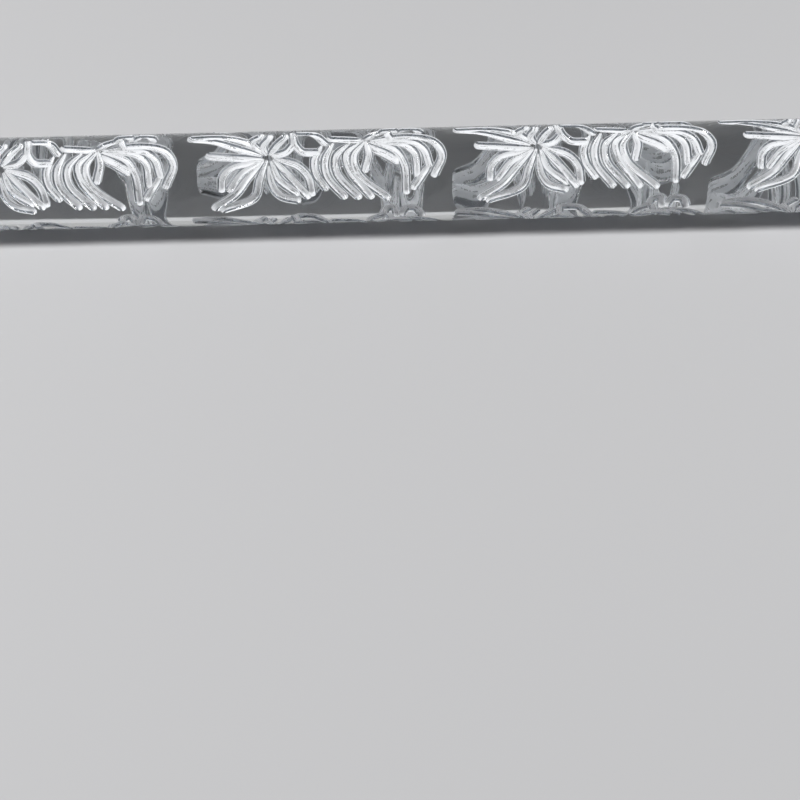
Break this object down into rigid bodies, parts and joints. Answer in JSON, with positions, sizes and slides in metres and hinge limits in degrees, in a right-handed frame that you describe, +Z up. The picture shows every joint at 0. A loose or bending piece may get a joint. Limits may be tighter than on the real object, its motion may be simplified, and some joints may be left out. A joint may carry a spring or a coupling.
{
  "type": "embossed rolling pin",
  "caption": "Clear acrylic rolling pin without handles, engraved with repeated pairs of flowers that emboss icing or dough as it rolls.",
  "frame": {"origin": "middle of the rod, on its axis", "axes": "+X along the rod, to the right in the picture; +Z up as the rod lies on its floor; the picture is taken from -Y and above"},
  "size_m": [0.33, 0.0252, 0.025],
  "materials": {
    "clear_acrylic": "clear acrylic, polished on the rolling surface, with fine cutter marks in the engraved grooves"
  },
  "bodies": {
    "root": {"engraved_pin": "clear_acrylic"}
  },
  "joints": []
}
